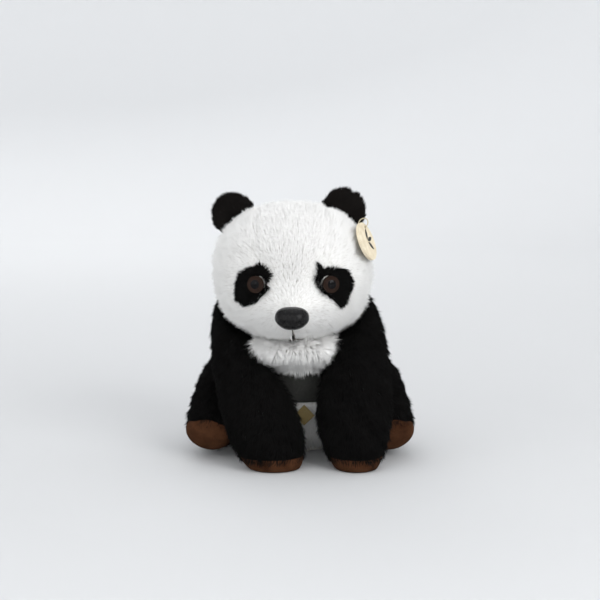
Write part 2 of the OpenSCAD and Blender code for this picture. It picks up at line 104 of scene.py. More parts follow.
def torso_form(u, zeta, depth):
    """Level ovals along a bent line, half as wide as swell says, pinched in between the front legs
    and flat underneath."""
    u = np.radians(u)
    zz = zeta * (1 - depth / (TORSO_H / 2))
    s = (zz + 1) / 2
    w = swell(zeta, 3)
    c = bezier([[0, 28, -4], [0, 30, TORSO_H * 0.53], [0, -16, TORSO_H + 4]], s)
    z = c[..., 2]
    y = c[..., 1] + (mix(TORSO_D / 2, TORSO_D * 0.43, s) - depth) * w * np.sin(u)
    wide = (TORSO_W / 2 - depth) * w * np.cos(u)
    beside = mix(CHEST_W / 2, TORSO_W / 2, smooth(5, 48, y))
    pinch = mix(TORSO_W / 2, beside, smooth(TORSO_H * 0.34, TORSO_H * 0.48, z)) - depth
    x = SHOULDER[0] * smooth(0.42, 0.56, z / TORSO_H) + over(under(wide, pinch), -pinch)
    return np.stack([x, y, np.maximum(z, depth)], -1)


def head_form(u, zeta, depth):
    """Round sections about a line from ear to ear. The muzzle is a blunt bell added in front, the
    eyes sit in shallow hollows, and two seams draw the fabric in beside the crown."""
    u = np.radians(u)
    w = swell(zeta, 2.4)
    x = zeta * (HEAD_W / 2 - depth)
    z = w * (HEAD_H / 2 - depth) * np.sin(u)
    front = np.maximum(0, np.cos(u))
    bell = np.exp(-(np.abs(x) / 26.8) ** 2.3 - (np.abs(z + HEAD_H * 0.32) / 24.8) ** 3)
    y = -w * (HEAD_D / 2 - depth) * np.cos(u) - MUZZLE_OUT * bell * front ** 0.3
    for side in (-1, 1):
        hollow = np.exp(-(((x - 1 - side * 31) / 15) ** 2) - ((z + 4) / 16) ** 2)
        y = y + 1.5 * hollow * (front > 0)
    seam = np.exp(-(((np.abs(zeta) - 0.46) / 0.03) ** 2)) * smooth(-0.1, 0.25, np.sin(u))
    y = y + 1.1 * seam * front
    z = z - 1.1 * seam * np.abs(np.sin(u))
    z = np.maximum(z, HEAD_BASE - HEAD_MID[2] + depth)
    return HEAD_MID + np.stack([x, y, z], -1)


def face(x, z, depth=0.0):
    """The front of the head over a place x, z measured from the head's middle."""
    zeta = x / (HEAD_W / 2 - depth)
    rise = np.clip(z / (swell(zeta, 2.4) * (HEAD_H / 2 - depth)), -0.98, 0.98)
    return head_form(np.degrees(np.arcsin(rise)), zeta, depth)


def face_out(x, z):
    """The way the front of the head faces there."""
    return unit(np.cross(face(x + 1, z) - face(x - 1, z), face(x, z + 1) - face(x, z - 1)))


def beside_head(p):
    """Moves points out of the room that the turning head takes."""
    q = p - HEAD_MID
    flat = (q[..., 1] / (HEAD_D / 2 + 6)) ** 2 + (q[..., 2] / (HEAD_H / 2 + 6)) ** 2
    m = ((np.abs(q[..., 0]) / (HEAD_W / 2 + 6)) ** 2.4 + flat ** 1.2) ** (1 / 2.4)
    push = np.where(m < 1, mix(1, 1 / np.maximum(m, 0.5), 0.99), 1.0)
    return HEAD_MID + q * push[..., None]


def rear_of_front_leg(z):
    """How far back a front leg reaches at a height: upright below the knee, then sloping back."""
    return -46 + 0.95 * np.maximum(0, z - 0.39 * TORSO_H)


def between_paws(z):
    """Halfway between the front legs: the paws stand a little to the left of the shoulders."""
    return mix(14, SHOULDER[0], smooth(TORSO_H * 0.2, TORSO_H * 0.85, z))


def front_leg_form(side, u, zeta, depth, narrow):
    """Level ovals along a bent line from paw to shoulder, kept clear of the chest, the hind leg
    and the head."""
    u = np.radians(u)
    path = np.array([
        [14 + side * FRONT_W / 2, -66, -6],
        [2 + side * (25 + FRONT_W * 0.22), -66, TORSO_H * 0.66],
        [SHOULDER[0] + side * (25 + FRONT_W * 0.47), 8, TORSO_H * 1.38],
    ])
    s = (zeta * (1 - 2 * depth / np.linalg.norm(path[2] - path[0])) + 1) / 2
    w = swell(zeta, mix(3.2, 2.5, s))
    slim = mix(narrow, 1, smooth(0, 0.45, s))
    half_w = mix(FRONT_W * 0.28, FRONT_W / 2 * slim, 1 - s ** 3) - depth
    half_d = mix(FRONT_D * 0.5, FRONT_D / 2, 1 - s * s) - depth
    p = bezier(path, s)
    x, y, z = p[..., 0] + half_w * w * np.cos(u), p[..., 1] + half_d * w * np.sin(u), p[..., 2]
    z = over(z, depth)
    y = under(y, rear_of_front_leg(z) - depth * 1.2)
    beside = mix(CHEST_W / 2, TORSO_W / 2, smooth(5, 48, y))
    clear = smooth(52, 60, -y)
    between = mix(SHOULDER[0], between_paws(z), clear)
    inner = mix(3 * GAP + beside, GAP, clear) + depth
    x = between + side * over(side * (x - between), inner)
    return beside_head(np.stack([x, y, under(z, TORSO_H * 1.42 - depth)], -1))


def hind_leg_form(side, u, zeta, depth):
    """Ovals square to a bent line from the sole back to the hip, kept clear of the torso and the
    front leg."""
    u = np.radians(u)
    hip_x = TORSO_W / 2 + GAP
    path = np.array([
        [side * (hip_x + HIND_W * 0.56), -42, 20],
        [side * (hip_x + HIND_W * 0.36), -46 + HIND_LEN * 0.45, TORSO_H * 0.42],
        [side * (hip_x + HIND_W * 0.24), -46 + HIND_LEN, TORSO_H * 0.4],
    ])
    s = (zeta * (1 - 2 * depth / HIND_LEN) + 1) / 2
    w = swell(zeta, mix(5, 3, smooth(0, 0.3, s)))
    way = unit((path[1] - path[0]) * (1 - s)[..., None] + (path[2] - path[1]) * s[..., None])
    across = unit(np.array([1.0, 0, 0]) - way * way[..., :1])
    fore = np.cross(way, across)
    half_w = HIND_W / 2 - depth
    half_z = mix(21, TORSO_H * 0.42, smooth(0, 0.75, s)) - depth
    p = (bezier(path, s) + across * (half_w * w * np.cos(u))[..., None]
         + fore * (half_z * w * np.sin(u))[..., None])
    z = over(p[..., 2], depth)
    y = over(p[..., 1], rear_of_front_leg(z) + 3 * GAP + depth * 1.2)
    return np.stack([side * over(side * p[..., 0], hip_x + depth), y, z], -1)


def ear_frame(side):
    """Where an ear is sewn on, and the directions up from its seam and along it."""
    seat = head_form(np.array(106.0), np.array(0.62 if side > 0 else -0.71), 0.0)
    slope = np.radians(33 if side > 0 else 42)
    return (seat, np.array([side * np.sin(slope), 0, np.cos(slope)]),
            np.array([side * np.cos(slope), 0, -np.sin(slope)]))


def ear_form(side, across, up, facing, thick, inset):
    """One side of an ear: half a blunt oval standing on its seam, which bows down at both ends,
    domed by thick."""
    seat, rise, along = ear_frame(side)
    drop = 5 * across ** 2
    tall = (EAR_H - inset) * swell(across, 2.3) + drop * 0.6
    dome = (1 - up ** 3) * swell(across, 4)
    back = np.array([0.0, 1.0, 0.0])
    return (seat + along * (across * (EAR_W / 2 - inset))[..., None]
            + rise * (tall * up - drop + 1.4)[..., None] + back * (facing * (0.3 + thick * dome))[..., None])


def cosine_stations(z0, z1, n):
    """Stations from z0 to z1 that crowd towards the rounded ends, as equal angles of a circle do."""
    return -np.cos(np.linspace(np.arccos(-z0), np.arccos(-z1), n))


def grid(u0, u1, nu, z0, z1, nz):
    """Angles and stations of a panel as two square arrays."""
    return np.meshgrid(np.linspace(u0, u1, nu), cosine_stations(z0, z1, nz), indexing="ij")


# ---- meshes ------------------------------------------------------------------------------------

def outward(points, middle):
    """Normals of a grid of points, turned away from the middle."""
    n = np.cross(np.gradient(points, axis=0), np.gradient(points, axis=1))
    away = unit(points - middle)
    pole = np.linalg.norm(n, axis=-1, keepdims=True) < 1e-4
    n = unit(n)
    return np.where(pole, away, n * np.sign(np.sum(n * away) + 1e-9))


def grid_quads(a, b, turned):
    """Corner numbers of the quads of an a by b grid."""
    i, j = np.meshgrid(np.arange(a - 1), np.arange(b - 1), indexing="ij")
    q = np.stack([i * b + j, (i + 1) * b + j, (i + 1) * b + j + 1, i * b + j + 1], -1).reshape(-1, 4)
    return q[:, ::-1] if turned else q


def welded(points, middle, uv):
    """A grid of points as one part in triangles that face outwards. Points that fall together, at
    a pole or a seam, become one, and the map keeps its own value at each corner."""
    n = outward(points, middle)
    i, j = points.shape[0] // 2, points.shape[1] // 2
    plain = np.cross(points[i + 1, j] - points[i, j], points[i, j + 1] - points[i, j])
    q = grid_quads(*points.shape[:2], plain @ n[i, j] < 0)
    flat = points.reshape(-1, 3)
    _, first, back = np.unique(np.round(flat, 4), axis=0, return_index=True, return_inverse=True)
    back = back.ravel()
    f = np.concatenate([q[:, [0, 1, 2]], q[:, [0, 2, 3]]])
    w = back[f]
    good = (w[:, 0] != w[:, 1]) & (w[:, 1] != w[:, 2]) & (w[:, 2] != w[:, 0])
    total = np.zeros((len(first), 3))
    np.add.at(total, back, n.reshape(-1, 3))
    return {"p": flat[first], "f": w[good], "n": unit(total), "c": uv.reshape(-1, 2)[f[good]]}


def skin(points, middle, shade=0.5):
    """The fabric under the pile as one part, at the roots' end of the pile's map."""
    a, b = points.shape[:2]
    tone = shade + 0.02 * np.indices((a, b)).sum(0) % 0.3
    return welded(points, middle, np.stack([tone, np.broadcast_to(np.linspace(0.01, 0.09, b), (a, b))], -1))


def pick(points, count, seed, keep=None):
    """Roots spread evenly over a grid of points by area, with the share of the way along both
    sides of the grid. keep gives the wanted density, 0 to 1, for each corner of the grid."""
    rng = np.random.default_rng(seed)
    a, b = points.shape[:2]
    d1 = points[1:, :-1] - points[:-1, :-1]
    d2 = points[:-1, 1:] - points[:-1, :-1]
    area = np.linalg.norm(np.cross(d1, d2), axis=-1)
    if keep is not None:
        area = area * keep[:-1, :-1]
    total = np.cumsum(area.ravel())
    at = (np.arange(count) + rng.uniform(0, 1, count)) / count * total[-1]
    cell = np.minimum(np.searchsorted(total, at), area.size - 1)
    k = rng.permutation(count)
    fi, fj = (0.5 + 0.7548776662 * k) % 1, (0.5 + 0.5698402910 * k) % 1
    return cell // (b - 1) + fi, cell % (b - 1) + fj


def sample(values, i, j):
    """Reads a grid of values between its corners."""
    i0, j0 = i.astype(int), j.astype(int)
    fi, fj = (i - i0)[:, None], (j - j0)[:, None]
    v = values if values.ndim == 3 else values[..., None]
    return ((v[i0, j0] * (1 - fi) + v[i0 + 1, j0] * fi) * (1 - fj)
            + (v[i0, j0 + 1] * (1 - fi) + v[i0 + 1, j0 + 1] * fi) * fj)


def strands(points, middle, count, seed, comb, length, lean, width, keep=None, only=None,
            tone=0.5, curl=0.24, sink=0.6):
    """Pile hairs, each a three-sided spike with one bend. A hair starts at its root, stands up for
    half its length, then leans along the comb direction by lean, 0 upright to 1 flat. Hairs near
    each other wander the same way, which makes the tufts."""
    rng = np.random.default_rng(seed + 7)
    i, j = pick(points, count, seed, keep)
    root = sample(points, i, j)
    out = unit(sample(outward(points, middle), i, j))
    if only is not None:
        good = only(root)
        root, out = root[good], out[good]
    m = len(root)
    way = comb(root)
    way = unit(way - out * np.sum(way * out, -1, keepdims=True))
    wander = drift(root, 11, seed) * 0.5 + drift(root, 4.5, seed + 1) * 0.4 + rng.normal(size=(m, 3)) * 0.25
    lean = (lean(root) if callable(lean) else lean) * np.ones(m)
    lean = np.clip(lean * (1 + 0.12 * rng.normal(size=m)), 0.05, 0.95)[:, None]
    first = unit(out * (1 - lean * 0.5) + way * lean * 0.6 + wander * curl * 0.6)
    last = unit(out * (1 - lean) + way * lean * 1.2 + wander * curl * 1.5)
    long = (length(root) if callable(length) else length) * np.ones(m)
    long = (long * rng.uniform(0.72, 1.12, m) * (1 + 0.12 * drift(root, 14, seed + 2)[:, 0]))[:, None]
    low = root - out * sink
    bend = low + first * long * 0.5
    tip = bend + last * long * 0.55
    side = unit(np.cross(out, way) + rng.normal(size=(m, 3)) * 0.3)
    other = unit(np.cross(first, side))
    turn = rng.uniform(0, 2 * np.pi, m)
    wide = (width * rng.uniform(0.75, 1.25, m))[:, None] / 2
    p, n = np.empty((m, 7, 3)), np.empty((m, 7, 3))
    for c in range(3):
        around = side * np.cos(turn + 2.0944 * c)[:, None] + other * np.sin(turn + 2.0944 * c)[:, None]
        p[:, c] = low + around * wide
        p[:, 3 + c] = bend + around * wide * 0.8
        n[:, c] = n[:, 3 + c] = unit(out + around * 0.3 + last * 0.1)
    p[:, 6], n[:, 6] = tip, unit(out + last * 0.4)
    f = np.array([[0, 1, 4], [0, 4, 3], [1, 2, 5], [1, 5, 4], [2, 0, 3], [2, 3, 5],
                  [3, 4, 6], [4, 5, 6], [5, 3, 6]])
    p[..., 2] = np.maximum(p[..., 2], 0.3)
    spin = np.einsum("ij,ij->i", np.cross(p[:, 1] - p[:, 0], p[:, 3] - p[:, 0]),
                     p[:, 0] + p[:, 1] - 2 * low) < 0
    faces = np.where(spin[:, None, None], f[:, ::-1][None], f[None]) + 7 * np.arange(m)[:, None, None]
    u = np.clip(tone + 0.16 * drift(root, 16, seed + 3)[:, 0] + 0.16 * rng.normal(size=m), 0.04, 0.96)
    uv = np.empty((m, 7, 2))
    uv[:, :, 0] = u[:, None] + np.array([-0.01, 0.01, 0, -0.01, 0.01, 0, 0])
    uv[:, :, 1] = np.array([0.1, 0.1, 0.12, 0.55, 0.55, 0.57, 1.0])
    return {"p": p.reshape(-1, 3), "f": faces.reshape(-1, 3), "n": n.reshape(-1, 3),
            "uv": uv.reshape(-1, 2)}


def sew(name, parts, material, body, nodes=(), own_normals=True, map_name="OFBake"):
    """One piece from its parts, put into a mesh in metres, riding on its body."""
    me = bpy.data.meshes.new(name)
    starts = np.cumsum([0] + [len(x["p"]) for x in parts])
    points = np.concatenate([x["p"] for x in parts])
    corners = np.concatenate([(x["f"] + s).ravel() for x, s in zip(parts, starts)])
    sizes = np.concatenate([np.full(len(x["f"]), x["f"].shape[1]) for x in parts])
    me.vertices.add(len(points))
    me.vertices.foreach_set("co", (points * MM).astype(np.float32).ravel())
    me.loops.add(len(corners))
    me.loops.foreach_set("vertex_index", corners.astype(np.int32))
    me.polygons.add(len(sizes))
    me.polygons.foreach_set("loop_start", (np.cumsum(sizes) - sizes).astype(np.int32))
    me.update(calc_edges=True)
    me.shade_smooth()
    layer = me.uv_layers.new(name=map_name)
    uv = np.concatenate([(x["c"] if "c" in x else x["uv"][x["f"]]).reshape(-1, 2) for x in parts])
    layer.uv.foreach_set("vector", uv.astype(np.float32).ravel())
    if own_normals:
        n = unit(np.concatenate([x["n"] for x in parts]))
        me.normals_split_custom_set_from_vertices(n.tolist())
    me.materials.append(material)
    piece = bpy.data.objects.new(name, me)
    bpy.context.scene.collection.objects.link(piece)
    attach(piece, body)
    if nodes:
        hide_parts(*nodes)
    return piece


# ---- finishes ----------------------------------------------------------------------------------

def new_group(name, inputs, outputs):
    """An empty node group with its sockets: inputs as (name, type, start value)."""
    g = bpy.data.node_groups.new(name, "ShaderNodeTree")
    for label, kind, value in inputs:
        g.interface.new_socket(label, in_out="INPUT", socket_type=kind).default_value = value
    for label, kind in outputs:
        g.interface.new_socket(label, in_out="OUTPUT", socket_type=kind)
    return g, g.nodes.new("NodeGroupInput").outputs, g.nodes.new("NodeGroupOutput").inputs


def put(tree, kind, **values):
    """A node, with values for its settings by name and for its sockets by number as i0, i1 ..."""
    node = tree.nodes.new(kind)
    for key, value in values.items():
        if key[0] == "i" and key[1:].isdigit():
            node.inputs[int(key[1:])].default_value = value
        else:
            setattr(node, key, value)
    return node


def rgb(*c):
    """A colour with full alpha."""
    return (*c, 1.0)


def pile_group():
    """Pile colour: the map's height along a hair goes from the root's colour to the tip's, and its
    place across gives each hair its own tone, from deep to light."""
    g, given, out = new_group("pile colour", [
        ("Root", "NodeSocketColor", rgb(0.6, 0.6, 0.55)), ("Tip", "NodeSocketColor", rgb(0.9, 0.9, 0.87)),
        ("Deep", "NodeSocketFloat", 0.85), ("Light", "NodeSocketFloat", 1.0)], [("Color", "NodeSocketColor")])
    at = put(g, "ShaderNodeUVMap", uv_map="OFBake")
    split = put(g, "ShaderNodeSeparateXYZ")
    g.links.new(at.outputs[0], split.inputs[0])
    rise = put(g, "ShaderNodeMapRange", interpolation_type="SMOOTHSTEP", i1=0.05, i2=0.6)
    g.links.new(split.outputs[1], rise.inputs[0])
    along = put(g, "ShaderNodeMix", data_type="RGBA")
    g.links.new(rise.outputs[0], along.inputs[0])
    g.links.new(given["Root"], along.inputs[6])
    g.links.new(given["Tip"], along.inputs[7])
    tone = put(g, "ShaderNodeMapRange")
    g.links.new(split.outputs[0], tone.inputs[0])
    g.links.new(given["Deep"], tone.inputs[3])
    g.links.new(given["Light"], tone.inputs[4])
    times = put(g, "ShaderNodeVectorMath", operation="SCALE")
    g.links.new(along.outputs[2], times.inputs[0])
    g.links.new(tone.outputs[0], times.inputs[3])
    g.links.new(times.outputs[0], out["Color"])
    return g


def mottle_group():
    """Mottled surface: two sizes of noise over the object's own coordinates, as a colour between
    two, a height and a roughness."""
    g, given, out = new_group("mottle", [
        ("Low", "NodeSocketColor", rgb(0.2, 0.2, 0.2)), ("High", "NodeSocketColor", rgb(0.3, 0.3, 0.3)),
        ("Scale", "NodeSocketFloat", 300.0), ("Fine", "NodeSocketFloat", 2500.0),
        ("Rough low", "NodeSocketFloat", 0.8), ("Rough high", "NodeSocketFloat", 0.95)],
        [("Color", "NodeSocketColor"), ("Height", "NodeSocketFloat"), ("Roughness", "NodeSocketFloat")])
    at = put(g, "ShaderNodeTexCoord")
    broad = put(g, "ShaderNodeTexNoise", i3=3.0)
    fine = put(g, "ShaderNodeTexNoise", i3=2.0)
    for noise, size in ((broad, "Scale"), (fine, "Fine")):
        g.links.new(at.outputs["Object"], noise.inputs["Vector"])
        g.links.new(given[size], noise.inputs["Scale"])
    both = put(g, "ShaderNodeMath", operation="MULTIPLY_ADD", i1=0.4)
    g.links.new(fine.outputs[0], both.inputs[0])
    more = put(g, "ShaderNodeMath", operation="MULTIPLY", i1=0.6)
    g.links.new(broad.outputs[0], more.inputs[0])
    g.links.new(more.outputs[0], both.inputs[2])
    spread = put(g, "ShaderNodeMapRange", i1=0.35, i2=0.65)
    g.links.new(both.outputs[0], spread.inputs[0])
    shade = put(g, "ShaderNodeMix", data_type="RGBA")
    g.links.new(spread.outputs[0], shade.inputs[0])
    g.links.new(given["Low"], shade.inputs[6])
    g.links.new(given["High"], shade.inputs[7])
    rough = put(g, "ShaderNodeMapRange")
    g.links.new(both.outputs[0], rough.inputs[0])
    g.links.new(given["Rough low"], rough.inputs[3])
    g.links.new(given["Rough high"], rough.inputs[4])
    g.links.new(shade.outputs[2], out["Color"])
    g.links.new(both.outputs[0], out["Height"])
    g.links.new(rough.outputs[0], out["Roughness"])
    return g


PILE, MOTTLE = pile_group(), mottle_group()


def finish(name, **sockets):
    """A material with its Principled shader, constants set on the shader's own sockets."""
    m = bpy.data.materials.new(name)
    m.use_nodes = True
    shader = m.node_tree.nodes["Principled BSDF"]
    for key, value in sockets.items():
        shader.inputs[key.replace("_", " ")].default_value = value
    return m, m.node_tree, shader


def pile(name, root, tip, deep, light, sheen, rough=0.9, specular=0.15):
    """Material of a pile fabric."""
    m, t, shader = finish(name, Roughness=rough, Sheen_Weight=sheen, Sheen_Roughness=0.5,
                          Specular_IOR_Level=specular)
    g = put(t, "ShaderNodeGroup", node_tree=PILE, i0=rgb(*root), i1=rgb(*tip), i2=deep, i3=light)
    t.links.new(g.outputs[0], shader.inputs["Base Color"])
    return m


def mottled(name, low, high, scale, fine, rough, bump, depth=0.0003, **sockets):
    """Material of a mottled surface with a fine bump."""
    m, t, shader = finish(name, **sockets)
    g = put(t, "ShaderNodeGroup", node_tree=MOTTLE, i0=rgb(*low), i1=rgb(*high), i2=scale, i3=fine,
            i4=rough[0], i5=rough[1])
    raised = put(t, "ShaderNodeBump", i0=bump, i1=depth)
    t.links.new(g.outputs["Height"], raised.inputs["Height"])
    t.links.new(g.outputs["Color"], shader.inputs["Base Color"])
    t.links.new(g.outputs["Roughness"], shader.inputs["Roughness"])
    t.links.new(raised.outputs[0], shader.inputs["Normal"])
    return m


def banded(name, dark, light, map_name, repeats, bump, rough, angle=0.0, **sockets):
    """Material with even bands across the piece's own map, for twisted thread, twill and wood."""
    m, t, shader = finish(name, Roughness=rough, **sockets)
    at = put(t, "ShaderNodeUVMap", uv_map=map_name)
    turn = put(t, "ShaderNodeMapping")
    turn.inputs["Rotation"].default_value = (0, 0, angle)
    turn.inputs["Scale"].default_value = (repeats[0], repeats[1], 1)
    bands = put(t, "ShaderNodeTexWave", wave_profile="SIN")
    bands.inputs["Scale"].default_value = 1.0
    bands.inputs["Distortion"].default_value = 0.6
    shade = put(t, "ShaderNodeMix", data_type="RGBA")
    shade.inputs[6].default_value, shade.inputs[7].default_value = rgb(*dark), rgb(*light)
    raised = put(t, "ShaderNodeBump", i0=bump, i1=0.0002)
    t.links.new(at.outputs[0], turn.inputs[0])
    t.links.new(turn.outputs[0], bands.inputs[0])
    t.links.new(bands.outputs[1], shade.inputs[0])
    t.links.new(bands.outputs[1], raised.inputs["Height"])
    t.links.new(shade.outputs[2], shader.inputs["Base Color"])
    t.links.new(raised.outputs[0], shader.inputs["Normal"])
    return m


def rings_finish(name, stops, rough, **sockets):
    """Material whose colour runs out from the middle of the piece's own map, for the eyes."""
    m, t, shader = finish(name, Roughness=rough, **sockets)
    at = put(t, "ShaderNodeUVMap", uv_map="OFBake")
    split = put(t, "ShaderNodeSeparateXYZ")
    ramp = put(t, "ShaderNodeValToRGB")
    while len(ramp.color_ramp.elements) < len(stops):
        ramp.color_ramp.elements.new(0.5)
    for stop, (place, colour) in zip(ramp.color_ramp.elements, stops):
        stop.position, stop.color = place, rgb(*colour)
    t.links.new(at.outputs[0], split.inputs[0])
    t.links.new(split.outputs[1], ramp.inputs[0])
    t.links.new(ramp.outputs[0], shader.inputs["Base Color"])
    return m


WHITE = pile("white pile", (0.80, 0.79, 0.76), (0.955, 0.95, 0.93), 0.95, 1.0, 0.1)
BLACK = pile("black pile", (0.002, 0.002, 0.002), (0.0052, 0.0050, 0.0048), 0.5, 1.3, 0.0, specular=0.08)
EAR_BLACK = pile("ear pile", (0.0025, 0.0022, 0.002), (0.0085, 0.0072, 0.0065), 0.5, 1.4, 0.01, specular=0.08)
# The chest's grey is lighter than the black pile of the same black fabric: painted floor-bounce light, with a real fine
# mottle over it.
BOUNCE_LIT_TRICOT = mottled("black tricot with painted bounce light", (0.016, 0.016, 0.014), (0.030, 0.030, 0.026), 500, 2200, (0.8, 0.95), 0.5,
                 Sheen_Weight=0.1)
# The suede's two browns are darker than the suede's own brown: painted shade matching the soles' shadowed look, laid
# over a real random mottle.
SHADED_SUEDE = mottled("suede", (0.024, 0.009, 0.004), (0.085, 0.036, 0.017), 60, 2600, (0.85, 1.0), 0.35,
                Specular_IOR_Level=0.05)
NOSE = mottled("nose plastic", (0.006, 0.006, 0.0065), (0.010, 0.0095, 0.0095), 400, 3000, (0.22, 0.32), 0.15,
               Specular_IOR_Level=0.11)
EYE_BACK = mottled("eye brown", (0.010, 0.005, 0.003), (0.020, 0.008, 0.004), 800, 3000, (0.25, 0.4), 0.1,
                   Specular_IOR_Level=0.1)
EYE = rings_finish("eye gloss", [(0.0, (0.003, 0.003, 0.0035)), (0.56, (0.004, 0.0035, 0.004)),
                                 (0.68, (0.014, 0.005, 0.003)), (0.84, (0.042, 0.012, 0.005)),
                                 (0.97, (0.006, 0.003, 0.002))],
                   0.05, Specular_IOR_Level=0.09)
THREAD = banded("dark thread", (0.035, 0.028, 0.022), (0.11, 0.09, 0.075), "OFBake", (9, 60), 0.6, 0.8, 0.5)
WHITE_THREAD = mottled("white thread", (0.55, 0.53, 0.48), (0.75, 0.73, 0.68), 900, 3000, (0.7, 0.9), 0.3)
LABEL = banded("label weave", (0.16, 0.11, 0.035), (0.36, 0.27, 0.10), "OFBake", (70, 70), 0.8, 0.55, 0.785,
               Sheen_Weight=0.2)
WOOD = mottled("tag wood", (0.62, 0.52, 0.36), (0.78, 0.70, 0.54), 160, 1500, (0.55, 0.7), 0.15)
INK = mottled("tag ink", (0.012, 0.011, 0.010), (0.022, 0.020, 0.018), 900, 3000, (0.6, 0.8), 0.1)
CORD = mottled("tag cord", (0.40, 0.34, 0.22), (0.62, 0.55, 0.40), 1200, 3500, (0.75, 0.9), 0.4)
FIBRE = mottled("stuffing", (0.62, 0.60, 0.54), (0.82, 0.80, 0.75), 220, 1600, (0.85, 1.0), 0.8)
PELLETS = mottled("pellets", (0.60, 0.58, 0.50), (0.80, 0.78, 0.70), 700, 1800, (0.5, 0.8), 0.8)
WASHER = mottled("washer plastic", (0.66, 0.66, 0.62), (0.76, 0.76, 0.73), 300, 2500, (0.4, 0.55), 0.1)

for nodes, material in {
    ("torso_stuffing", "head_stuffing", "front_stuffing_left", "front_stuffing_right",
     "hind_stuffing_left", "hind_stuffing_right"): FIBRE,
    ("pellet_bag",): PELLETS,
    ("eye_washer_left", "eye_washer_right", "nose_washer"): WASHER,
    ("eye_left", "eye_right"): EYE_BACK,
    ("closing_stitches", "neck_collar", "seat_base"): WHITE_THREAD,
    ("tag_disc",): WOOD,
    ("tag_print",): INK,
    ("tag_loop",): CORD,
}.items():
    for node in nodes:
        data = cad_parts[node].data
        data.materials.clear()
        data.materials.append(material)

# ---- how the pile is laid ----------------------------------------------------------------------

SKIN = 3.5          # how far the woven back of the pile lies below the pattern's outside
HEAD_SKIN = 5.4     # the same on the head
NOSE_AT = face(0.0, -30.2)
EYE_AT = {1: (31.0, -4.0), -1: (-29.0, -4.0)}


def away_from_nose(p):
    """Swept from the nose over the face and back along the head, and down over the cheeks."""
    return unit(p - NOSE_AT) + np.array([0, 0.25, -0.25])


def down(p):
    """Straight down, a little outwards and to the back."""
    return unit(p * np.array([0.003, 0, 0]) + np.array([0, 0.15, -1.0]))


def down_leg(p):
    """Down a front leg to the paw, brushed a little to the outside."""
    return np.stack([np.sign(p[:, 0] + 5) * 0.15, -0.25 * np.ones(len(p)), -np.ones(len(p))], -1)


def down_hind_leg(p):
    """Forward and down along a hind leg, brushed to the outside."""
    return np.stack([np.sign(p[:, 0]) * 0.35, -0.8 * np.ones(len(p)), -0.9 * np.ones(len(p))], -1)


# The black patches round the eyes, each a run of x, z corners from the head's middle.
PATCH = {
    -1: [(-35.3, 7.3), (-26.3, 11.0), (-18.1, 3.2), (-21.4, -4.3), (-19.0, -7.6), (-28.5, -18.1),
         (-38.0, -22.6), (-45.4, -18.1), (-46.3, -8.4), (-42.2, 3.2)],
    1: [(22.1, 12.1), (25.8, 7.3), (44.2, 6.5), (48.8, -2.6), (48.4, -10.1), (44.4, -20.5),
        (39.5, -24.2), (32.8, -16.7), (22.1, -7.6), (20.5, -1.8)],
}


def inside(x, z, corners):
    """True where a point lies inside a run of corners: a ray from it crosses the edge an odd
    number of times."""
    c = np.asarray(corners, float)
    d = np.roll(c, -1, axis=0)
    x, z = x[:, None], z[:, None]
    cross = (c[:, 1] > z) != (d[:, 1] > z)
    edge = c[:, 0] + (z - c[:, 1]) * (d[:, 0] - c[:, 0]) / np.where(d[:, 1] == c[:, 1], 1e-9, d[:, 1] - c[:, 1])
    return (np.sum(cross & (x < edge), 1) % 2) == 1


def shrunk(corners, share):
    """The corners moved to a share of their distance from the middle."""
    c = np.asarray(corners, float)
    return c.mean(0) + (c - c.mean(0)) * share


def off_the_features(p):
    """True for hair roots clear of the eye patches, the nose, the mouth and the flat under the head."""
    q = p - HEAD_MID
    front = q[:, 1] < -10
    ok = ~(front & (np.hypot(q[:, 0] / 12.0, (q[:, 2] + 31) / 8.0) < 1))
    ok &= ~(front & (np.abs(q[:, 0] - 1.0) < 1.3) & (q[:, 2] < -36) & (q[:, 2] > -51))
    for side in (-1, 1):
        ok &= ~(front & inside(q[:, 0], q[:, 2], shrunk(PATCH[side], 1.0)))
    return ok & (p[:, 2] > HEAD_BASE + 0.5)


def head_length(p):
    """Hair length on the head: short round the nose and eyes, longer over the cheeks and chin."""
    near_nose = np.linalg.norm(p - NOSE_AT, axis=-1)
    eyes = np.minimum(*[np.hypot(p[:, 0] - HEAD_MID[0] - EYE_AT[s][0], p[:, 2] - HEAD_MID[2] - EYE_AT[s][1])
                        for s in (-1, 1)])
    eyes = np.where(p[:, 1] < HEAD_MID[1] - 15, eyes, 60)
    long = mix(4.0, 9.0, smooth(12, 52, near_nose))
    long = long + 4.5 * smooth(HEAD_BASE + 11, HEAD_BASE + 2, p[:, 2]) * smooth(8, 14, near_nose)
    return np.minimum(long, mix(3.6, 9.0, smooth(16, 34, eyes)))


def head_panel(name, u0, u1, nu, z0, z1, nz, count, seed, nodes):
    """One furred panel of the head."""
    u, zeta = grid(u0, u1, nu, z0, z1, nz)
    p = head_form(u, zeta, HEAD_SKIN)
    hairs = strands(p, HEAD_MID, count, seed, away_from_nose, head_length, 0.5, 0.8,
                    only=off_the_features, curl=0.15)
    return sew(name, [skin(p, HEAD_MID), hairs], WHITE, "head", nodes)


STEP = 360 / 28
SEAM = 0.4
TAU = 1.0

head_panel("crown_fur", -STEP, 16 * STEP, 70, -SEAM, SEAM, 24, 20000, 11, ["crown_gusset"])
head_panel("chin_fur", 16 * STEP, 360 - STEP, 50, -SEAM, SEAM, 24, 9500, 12, ["chin_gusset"])
head_panel("cheek_fur_left", 0, 360, 90, SEAM, TAU, 30, 19000, 13, ["face_left"])
head_panel("cheek_fur_right", 0, 360, 90, -TAU, -SEAM, 30, 19000, 14, ["face_right"])


